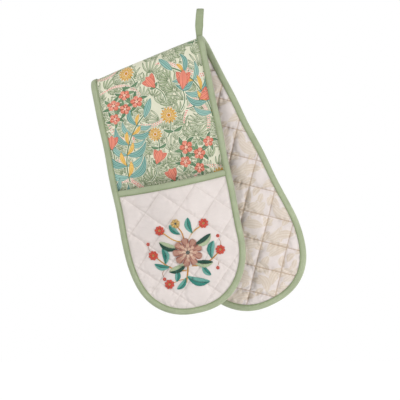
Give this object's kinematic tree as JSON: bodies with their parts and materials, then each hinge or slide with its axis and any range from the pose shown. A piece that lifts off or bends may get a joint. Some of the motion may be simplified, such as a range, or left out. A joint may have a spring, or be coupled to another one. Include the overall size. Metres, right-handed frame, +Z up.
{
  "type": "double oven glove",
  "caption": "Padded cloth strip with a quilted hand pocket at each end, bound edges and a hanging loop, folded and hung.",
  "frame": {"origin": "inside of the hanging loop's top, where a hook carries the glove", "axes": "+Z up as the glove hangs, -Y towards the viewer who faces the printed front arm, +X to that viewer's right"},
  "size_m": [0.3242, 0.073, 0.4594],
  "materials": {
    "printed_cotton": "printed plain weave, matt",
    "lining_cotton": "tone-on-tone plain weave, quilted, matt",
    "cream_cotton": "plain weave, quilted, matt",
    "sage_tape": "bias tape, matt",
    "wadding": "soft fibre"
  },
  "bodies": {
    "loop": {"hanging_loop": "sage_tape"},
    "crown": {"lining_crown": "lining_cotton", "wadding_crown": "wadding", "outer_cloth_crown": "printed_cotton", "edge_binding_crown_left": "sage_tape", "edge_binding_crown_right": "sage_tape"},
    "front_arm": {"lining_front": "lining_cotton", "wadding_front": "wadding", "outer_cloth_front": "printed_cotton", "edge_binding_front": "sage_tape", "pocket_lining_front": "lining_cotton", "pocket_wadding_front": "wadding", "pocket_face_front": "cream_cotton", "mouth_binding_front": "sage_tape"},
    "back_arm": {"lining_back": "lining_cotton", "wadding_back": "wadding", "outer_cloth_back": "printed_cotton", "edge_binding_back": "sage_tape", "pocket_lining_back": "lining_cotton", "pocket_wadding_back": "wadding", "pocket_face_back": "cream_cotton", "mouth_binding_back": "sage_tape"}
  },
  "joints": [
    {"name": "loop_swing", "type": "hinge", "parent": "loop", "child": "crown", "pos_m": [0, 0, -0.038], "axis": [0.9239, 0, 0.3827], "range_deg": [-60, 60]},
    {"name": "front_fold", "type": "hinge", "parent": "crown", "child": "front_arm", "pos_m": [-0.07761, -0.015, -0.08812], "axis": [-0.9239, 0, -0.3827], "range_deg": [0, 90]},
    {"name": "back_fold", "type": "hinge", "parent": "crown", "child": "back_arm", "pos_m": [-0.0704, 0.015, -0.08513], "axis": [0.9239, 0, 0.3827], "range_deg": [0, 90]}
  ]
}
